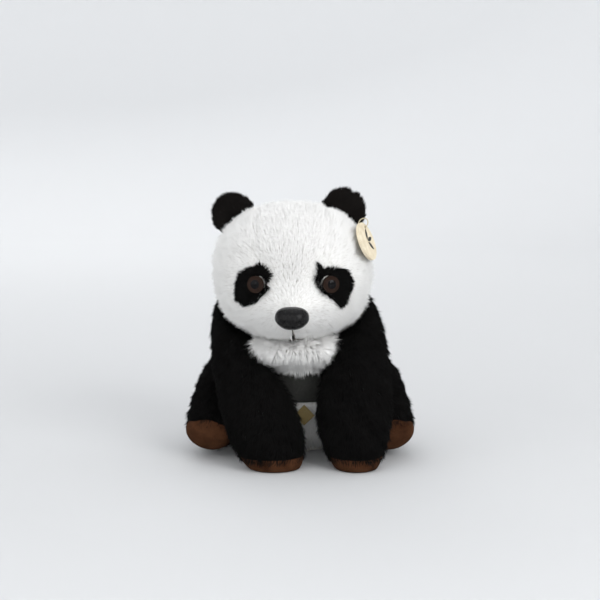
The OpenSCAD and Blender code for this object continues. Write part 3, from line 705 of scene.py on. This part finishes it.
def patch_fur(name, side, node):
    """The black patch round an eye: short hair swept away from the eye over a fan of rings, with a
    longer tuft at the upper inner corner."""
    c = np.asarray(PATCH[side], float)
    closed = np.vstack([c, c[:1]])
    far = np.concatenate([[0], np.cumsum(np.linalg.norm(np.diff(closed, axis=0), axis=1))])
    ring = np.stack([np.interp(np.linspace(0, far[-1], 49), far, closed[:, k]) for k in (0, 1)], -1)
    mid = np.array(EYE_AT[side])
    r = np.linspace(0.1, 1.0, 9)
    spots = mid + (ring[:, None] - mid) * r[None, :, None]
    p = face(spots[..., 0], spots[..., 1], HEAD_SKIN - 1.2)
    middle = np.array([HEAD_MID[0], HEAD_MID[1], HEAD_MID[2]])
    eye = face(np.array(mid[0]), np.array(mid[1]))

    def from_eye(q):
        return unit(q - eye) + np.array([0, 0, -0.25])

    def long(q):
        inner = side * (q[:, 0] - eye[0]) < -3
        return np.where(inner & (q[:, 2] > eye[2] + 3), 7.5, 5.0)

    def clear_of_eye(q):
        return np.hypot(q[:, 0] - eye[0], q[:, 2] - eye[2]) > EYE_D / 2 - 1.0

    hairs = strands(p, middle, 3000, 31 + side, from_eye, long, 0.62, 0.66, only=clear_of_eye, tone=0.4)
    return sew(name, [skin(p, middle), hairs], BLACK, "head", [node])


patch_fur("eye_patch_fur_left", 1, "eye_patch_left")
patch_fur("eye_patch_fur_right", -1, "eye_patch_right")


# ---- eyes, nose and mouth ----------------------------------------------------------------------

def frame_at(place, out):
    """Three directions at a place: to its right, up and out."""
    right = unit(np.cross(np.array([0, 0, 1.0]), out))
    return right, np.cross(out, right), out


def revolve(place, out, profile, turns=48):
    """A profile of radius and height carried once round a line that points out from a place. The map
    runs round, and from 0 in the middle to 1 at the widest."""
    right, up, way = frame_at(place, out)
    a = np.radians(np.linspace(0, 360, turns + 1))
    r, h = np.asarray(profile, float).T
    p = (place + (right * np.cos(a)[:, None, None] + up * np.sin(a)[:, None, None]) * r[None, :, None]
         + way * h[None, :, None])
    uv = np.stack(np.broadcast_arrays(a[:, None] / 6.2832, r[None] / r.max()), -1)
    return welded(p, place - way * 4, uv)


def eye_piece(name, side, nodes):
    """A glossy domed eye: a spherical cap with a rolled rim."""
    x, z = 1 + side * EYE_SPACING / 2, -4.0
    out = face_out(np.array(x), np.array(z))
    place = face(np.array(x), np.array(z)) + out * 1.0
    rise = np.radians(np.linspace(0, 84, 16))
    cap = np.stack([EYE_D / 2 * np.sin(rise) ** 0.92, 0.4 + EYE_D * 0.3 * np.cos(rise)], -1)
    rim = np.array([[EYE_D / 2, 0.5], [EYE_D / 2, 0.2], [EYE_D / 2 - 0.4, 0.0], [0.0, 0.0]])
    return sew(name, [revolve(place, out, np.vstack([cap, rim]))], EYE, "head", nodes,
               own_normals=False)


eye_piece("eye_gloss_left", 1, ["eye_dome_left"])
eye_piece("eye_gloss_right", -1, ["eye_dome_right"])


def nose_piece():
    """The moulded nose: an egg-shaped dome, broad above and narrow below, with two nostrils pressed
    into its lower half and a faint groove between them."""
    out = face_out(np.array(0.0), np.array(-32.0))
    place = face(np.array(0.0), np.array(-32.0)) - out * 4
    right, up, way = frame_at(place, unit(np.array([0, -0.994, 0.105])))
    a, r = np.meshgrid(np.radians(np.linspace(0, 360, 73)), np.linspace(0, 1, 30), indexing="ij")
    tall = np.sqrt(np.maximum(0, 1 - r ** 2.4))
    narrow = 1 - 0.20 * smooth(0, 1, -np.sin(a)) * r
    square = (np.abs(np.cos(a)) ** 2.5 + np.abs(np.sin(a)) ** 2.5) ** (-1 / 2.5)
    x = NOSE_W / 2 * r ** 0.9 * narrow * np.cos(a) * square
    z = NOSE_H / 2 * r ** 0.9 * np.sin(a) * square
    y = NOSE_H * 0.66 * tall
    for s in (-1, 1):
        hole = np.exp(-(((x - s * 5.6) / 2.1) ** 2 + ((z + 3.4) / 1.7) ** 2) ** 1.2)
        rim = np.exp(-(((x - s * 5.6) / 3.8) ** 2 + ((z + 3.2) / 3.0) ** 2))
        y = y - 2.6 * hole + 0.5 * rim
    y = y - 0.7 * np.exp(-(x / 1.3) ** 2) * smooth(0.5, -4, z)
    p = place + right * x[..., None] + up * z[..., None] + way * y[..., None]
    uv = np.stack([a / 6.2832, r], -1)
    return sew("nose_moulding", [welded(p, place, uv)], NOSE, "head", ["nose"],
               own_normals=False, map_name="rings")


def tube(route, radius, sides=10):
    """A round thread along a route, drawn to points at its ends."""
    route = np.asarray(route, float)
    along = unit(np.gradient(route, axis=0))
    side = unit(np.cross(along, np.array([0.0, 1.0, 0.2])))
    up = np.cross(along, side)
    a = np.radians(np.linspace(0, 360, sides + 1))
    t = np.linspace(0, 1, len(route))
    thick = radius * np.minimum(1, 8 * np.minimum(t, 1 - t) + 0.05)
    p = route[:, None] + (side[:, None] * np.cos(a)[None, :, None] + up[:, None] * np.sin(a)[None, :, None]) * thick[:, None, None]
    n = unit(p - route[:, None])
    far = np.concatenate([[0], np.cumsum(np.linalg.norm(np.diff(route, axis=0), axis=1))])
    uv = np.stack(np.broadcast_arrays(a[None] / 6.2832, far[:, None] / 20), -1)
    q = grid_quads(*p.shape[:2], False)
    turned = np.cross(p[1, 0] - p[0, 0], p[0, 1] - p[0, 0]) @ n[0, 0] < 0
    return {"p": p.reshape(-1, 3), "f": q[:, ::-1] if turned else q, "n": n.reshape(-1, 3),
            "uv": uv.reshape(-1, 2)}


def on_face(corners, lift, n=24):
    """Points along a smooth run through x, z corners, lifted from the front of the head."""
    c = np.asarray(corners, float)
    t = np.linspace(0, len(c) - 1, n)
    x, z = [np.interp(t, np.arange(len(c)), c[:, k]) for k in (0, 1)]
    return face(x, z) + np.array([0, -1.0, 0]) * lift


nose_piece()
sew("mouth_thread", [tube(on_face([(0.4, -39), (0.8, -44), (2.2, -49), (2.8, -51)], 0.3), 0.5),
                     tube(on_face([(2.8, -51), (0.8, -52.2), (-2.4, -53.0)], 0.3), 0.45),
                     tube(on_face([(2.8, -51), (6.2, -51.4), (9.4, -52.6)], 0.3), 0.45)],
    THREAD, "head", ["mouth_stitch"], own_normals=False)


# ---- ears, tag and label -----------------------------------------------------------------------

def ear_fur(name, side, nodes):
    """An ear: two domed half ovals back to back, furred from the seam out to the rim. The left one
    has a dent in its rim."""
    across, up = np.meshgrid(np.linspace(-0.985, 0.985, 40), np.linspace(0, 1, 14), indexing="ij")
    dent = 1 - (0.13 * np.exp(-((across + 0.1) / 0.16) ** 2) if side > 0 else 0) * up
    seat, rise, _ = ear_frame(side)
    parts = []
    for facing in (-1, 1):
        p = ear_form(side, across, up * dent, facing, 3.6, 2.6)
        middle = seat + np.array([side * 5, -facing * 12, 5])

        def to_rim(q):
            return rise + 0.7 * unit(q - seat)
        parts += [skin(p, middle), strands(p, middle, 3200, 41 + facing + 3 * side, to_rim, 6.0, 0.62, 0.66,
                                           tone=0.5)]
    return sew(name, parts, EAR_BLACK, "ear_left" if side > 0 else "ear_right", nodes)


ear_fur("ear_fur_left", 1, ["ear_front_left", "ear_back_left"])
ear_fur("ear_fur_right", -1, ["ear_front_right", "ear_back_right"])

LABEL_HINGE = np.array([3.545, -38.894, 48.67])
a, b = np.meshgrid(np.linspace(0, 1, 15), np.linspace(0, 1, 15), indexing="ij")
side_way, other_way = unit(np.array([1, -0.05, -1.0])), unit(np.array([-1, -0.05, -1.0]))
curve = 1.2 * np.sin(np.pi * (a + b) / 2)
label = (LABEL_HINGE + side_way * (12.9 * a)[..., None] + other_way * (12.9 * b)[..., None]
         + np.array([0.1, -0.9, 0]) * curve[..., None])
label_part = {"p": label.reshape(-1, 3), "f": grid_quads(15, 15, True), "n": outward(label, label.mean((0, 1)) + [0, 9, 0]).reshape(-1, 3),
              "uv": np.stack([a, b], -1).reshape(-1, 2)}
label_cloth = sew("woven_label", [label_part], LABEL, "care_label", ["care_label"],
                  own_normals=False)


# ---- torso and tail ----------------------------------------------------------------------------

TORSO_MIDDLE = np.array([-3.0, 15.0, 50.0])


def clear_of_hind_legs(p):
    """False for roots that a hind leg covers, where the hairs would come out through it."""
    return ~((np.abs(p[:, 0]) > 38) & (p[:, 2] < 82) & (np.abs(p[:, 1]) < 44))


def torso_panel(name, u0, u1, nu, z0, z1, nz, count, seed, material, nodes, comb=down, length=9.0, lean=0.62,
                inset=SKIN, width=0.75, puff=0.0):
    """One furred panel of the torso, drawn forward by puff and widened towards its upper edge."""
    u, zeta = grid(u0, u1, nu, z0, z1, nz)
    p = torso_form(u, zeta, inset)
    rise = smooth(z0, z0 + 0.34, zeta)
    p[..., 1] -= puff * rise * smooth(0.2, 1.0, -np.sin(np.radians(u)))
    p[..., 0] += 0.02 * puff * (rise - 0.55) * (p[..., 0] - SHOULDER[0])
    hairs = strands(p, TORSO_MIDDLE, count, seed, comb, length, lean, width, only=clear_of_hind_legs)
    return sew(name, [skin(p, TORSO_MIDDLE), hairs], material, "torso", nodes)


torso_panel("back_fur", -30, 210, 60, -0.88, -0.06, 16, 15000, 51, WHITE, ["back_panel"])
torso_panel("belly_fur", 210, 330, 30, -0.88, -0.06, 16, 5000, 52, WHITE, ["belly_panel"], length=7.5)
def nape_length(p):
    """Pile of the back, growing to long tufts that stand up behind the head."""
    return mix(9.0, 19.0, smooth(90, 103, p[:, 2]) * smooth(-25, -5, p[:, 1]))


def nape_comb(p):
    """Down the back, but up against the head at the nape."""
    up = smooth(88, 102, p[:, 2])
    return np.stack([0 * up, mix(0.15, 0.5, up), mix(-1.0, 1.0, up)], -1)


torso_panel("yoke_fur", -50, 230, 70, -0.06, 1.0, 24, 15000, 53, BLACK, ["shoulder_yoke"],
            comb=nape_comb, length=nape_length)
torso_panel("chest_nap", 222, 318, 30, -0.06, 0.74, 14, 3000, 54, BOUNCE_LIT_TRICOT, ["chest_panel"], length=1.6, lean=0.8,
            inset=1.6, width=0.4)


def ruff(p):
    """Down and forward, spreading from the middle of the throat."""
    return unit(np.stack([(p[:, 0] + 5) * 0.02, -0.5 * np.ones(len(p)), -np.ones(len(p))], -1))


torso_panel("ruff_fur", 214, 326, 40, 0.60, 1.0, 16, 13000, 55, WHITE, ["throat_bib"], comb=ruff, length=12.0,
            lean=0.5, puff=22.0, inset=0.4)


def neck_fur():
    """A low furred ring round the neck, under the head."""
    u, rise = np.meshgrid(np.linspace(0, 360, 49), np.linspace(0, 1, 8), indexing="ij")
    wide = NECK_R + 1.5 * np.sin(np.pi * rise)
    p = np.stack([NECK[0] + wide * np.cos(np.radians(u)), NECK[1] + wide * np.sin(np.radians(u)),
                  mix(NECK_LOW, NECK_HIGH, rise)], -1)
    middle = np.array([NECK[0], NECK[1], (NECK_LOW + NECK_HIGH) / 2])
    hairs = strands(p, middle, 2200, 91, down, 8.0, 0.55, 0.75)
    return sew("neck_fur", [skin(p, middle), hairs], WHITE, "neck", ["neck_collar"])


neck_fur()


def tail_fur():
    """The stub of a tail: a tube thinner at its root and round at its tip, furred towards the tip."""
    root = np.array([0, 81.5, 34.0])
    path = [root + [0, 1, 0], root + [0, 15, -1], root + [0, 25, -7]]
    u, zeta = grid(0, 360, 40, -0.96, 0.99, 16)
    s = (zeta + 1) / 2
    w = swell(zeta, 2.8) * mix(10, 14, smooth(0, 0.6, s)) - 2.0 * swell(zeta, 2)
    p = bezier(path, s)
    p = p + np.stack([w * np.cos(np.radians(u)), -0.2 * w * np.sin(np.radians(u)), 0.9 * w * np.sin(np.radians(u))], -1)
    middle = root + np.array([0, 12, -2])
    hairs = strands(p, middle, 3500, 61, lambda q: np.array([0, 1.0, -0.4]) + 0 * q, 8.5, 0.6, 0.75)
    return sew("tail_fur", [skin(p, middle), hairs], WHITE, "tail", ["tail"])


tail_fur()


# ---- legs and soles ----------------------------------------------------------------------------

def seam_station(u, seam, top_seam):
    """Station of a sole's seam: nearer to the toe on top, where the pile comes down over it."""
    return mix(seam, top_seam, smooth(0.1, 0.9, -np.sin(np.radians(u))))


def leg_fur(name, body, form, seam, top_seam, end, count, seed, comb, nodes, middle, length=7.6, keep=None):
    """A furred leg from the sole's seam up, closed over its top."""
    u, share = np.meshgrid(np.linspace(0, 360, 81), np.linspace(0, 1, 46), indexing="ij")
    start = np.arccos(-seam_station(u, seam, top_seam))
    p = form(u, -np.cos(mix(start, np.pi, share)), SKIN)
    density = smooth(0, 0.03, 1 - share) * (1 if keep is None else keep(p))
    hairs = strands(p, middle, count, seed, comb, length, 0.66, 0.72, keep=density)
    return sew(name, [skin(p, middle), hairs], BLACK, body, nodes)


def sole(name, body, form, seam, top_seam, nodes, middle, bulge):
    """A suede sole: the toe end of the leg's form, a little fuller than the pattern."""
    u, share = np.meshgrid(np.linspace(0, 360, 81), np.linspace(0, 1, 24), indexing="ij")
    zeta = -np.cos(mix(0, np.arccos(-seam_station(u, seam, top_seam) - 0.02), share))
    p = form(u, zeta, 1.0)
    p = p + unit(p - middle) * (bulge * (1 - share ** 4))[..., None]
    p[..., 2] = np.maximum(p[..., 2], 0.05)
    return sew(name, [skin(p, middle)], SHADED_SUEDE, body, nodes, own_normals=False)


def thinner_inside(side):
    """Fewer hairs where a front leg faces the torso and can't be seen."""
    def keep(p):
        hidden = (side * (p[..., 0] + 5) < 32) & (p[..., 1] > -25)
        return np.where(hidden, 0.35, 1.0)
    return keep


for side, word, narrow in ((1, "left", 0.82), (-1, "right", 1.0)):
    def front(u, zeta, depth, side=side, narrow=narrow):
        return front_leg_form(side, u, zeta, depth, narrow)

    def hind(u, zeta, depth, side=side):
        return hind_leg_form(side, u, zeta, depth)

    middle = np.array([side * 42.0, -40.0, 60.0])
    leg_fur(f"front_leg_fur_{word}", f"front_leg_{word}", front, -0.80, -0.80, 1, 21500, 71 + side, down_leg,
            [f"front_leg_{word}"], middle, keep=thinner_inside(side))
    sole(f"front_sole_suede_{word}", f"front_leg_{word}", front, -0.79, -0.79, [f"front_sole_{word}"],
         np.array([side * 34.0 + 14, -66, 12]), 0.8)
    middle = np.array([side * 78.0, 0.0, 38.0])
    leg_fur(f"hind_leg_fur_{word}", f"hind_leg_{word}", hind, -0.80, -0.95, 1, 17000, 81 + side,
            down_hind_leg, [f"hind_leg_{word}"], middle)
    sole(f"hind_sole_suede_{word}", f"hind_leg_{word}", hind, -0.78, -0.94, [f"hind_sole_{word}"],
         np.array([side * 80.0, -30, 20]), 1.6)


# ---- studio ------------------------------------------------------------------------------------

def studio():
    """A pale bowl: flat floor, a curved rise and an upright wall, carried once round."""
    turn = np.radians(np.linspace(-90, 0, 16))
    r = np.concatenate([[0.001, 0.3, 0.8, 1.4], 1.8 + 0.9 * np.cos(turn), [2.7, 2.7]])
    z = np.concatenate([[0, 0, 0, 0], 0.9 + 0.9 * np.sin(turn), [1.8, 3.2]])
    a = np.radians(np.linspace(0, 360, 97))
    p = np.stack([r[None] * np.cos(a)[:, None], r[None] * np.sin(a)[:, None], z[None] + 0 * a[:, None]], -1)
    me = bpy.data.meshes.new("studio_floor")
    me.from_pydata(p.reshape(-1, 3).tolist(), [], grid_quads(*p.shape[:2], True).tolist())
    me.shade_smooth()
    m, t, shader = finish("studio white with painted shade", Roughness=0.9, Specular_IOR_Level=0.05)
    # The floor's colour runs from darker near the middle to lighter further out: painted shade that evens out the
    # brighter light the lamps throw near the middle.
    at = put(t, "ShaderNodeTexCoord")
    far = put(t, "ShaderNodeVectorMath", operation="LENGTH")
    ramp = put(t, "ShaderNodeValToRGB")
    ramp.color_ramp.elements[0].position, ramp.color_ramp.elements[0].color = 0.1, rgb(0.60, 0.605, 0.61)
    ramp.color_ramp.elements[1].position, ramp.color_ramp.elements[1].color = 0.9, rgb(0.80, 0.805, 0.81)
    third = put(t, "ShaderNodeMath", operation="MULTIPLY", i1=1 / 3)
    t.links.new(at.outputs["Object"], far.inputs[0])
    t.links.new(far.outputs["Value"], third.inputs[0])
    t.links.new(third.outputs[0], ramp.inputs[0])
    t.links.new(ramp.outputs[0], shader.inputs["Base Color"])
    me.materials.append(m)
    floor = bpy.data.objects.new("studio_floor", me)
    bpy.context.scene.collection.objects.link(floor)


def soft_box(name, place, target, size, power, colour=(1, 1, 1)):
    """A square area light that looks at a target."""
    data = bpy.data.lights.new(name, "AREA")
    data.size, data.energy, data.color = size, power, colour
    lamp = bpy.data.objects.new(name, data)
    lamp.location = place
    away = Vector(place) - Vector(target)
    lamp.rotation_euler = away.to_track_quat("Z", "Y").to_euler()
    bpy.context.scene.collection.objects.link(lamp)


studio()
soft_box("key", (1.2, -1.5, 1.1), (0, 0, 0.12), 1.1, 22)
soft_box("fill", (-1.5, -1.2, 0.8), (0, 0, 0.12), 1.4, 8)
soft_box("front", (-0.2, -1.9, 1.0), (0, 0, 0.15), 1.4, 6)
soft_box("top", (0.3, 0.2, 2.3), (0, 0, 0.1), 2.0, 6)
soft_box("back", (-0.5, 1.7, 1.3), (0, 0, 0.12), 1.4, 9)
world = bpy.data.worlds.new("studio air")
world.use_nodes = True
world.node_tree.nodes["Background"].inputs[0].default_value = rgb(0.95, 0.97, 1.0)
world.node_tree.nodes["Background"].inputs[1].default_value = 0.93
bpy.context.scene.world = world
bpy.context.scene.view_settings.view_transform = "Standard"

lens = bpy.data.cameras.new("camera")
lens.angle = np.radians(24.8)
camera = bpy.data.objects.new("camera", lens)
aim_at = Vector((0, 0, 0.13393))
rise = np.radians(8.5)
camera.location = aim_at + 1.2 * Vector((0, -np.cos(rise), np.sin(rise)))
camera.rotation_euler = (camera.location - aim_at).to_track_quat("Z", "Y").to_euler()
bpy.context.scene.collection.objects.link(camera)
bpy.context.scene.camera = camera
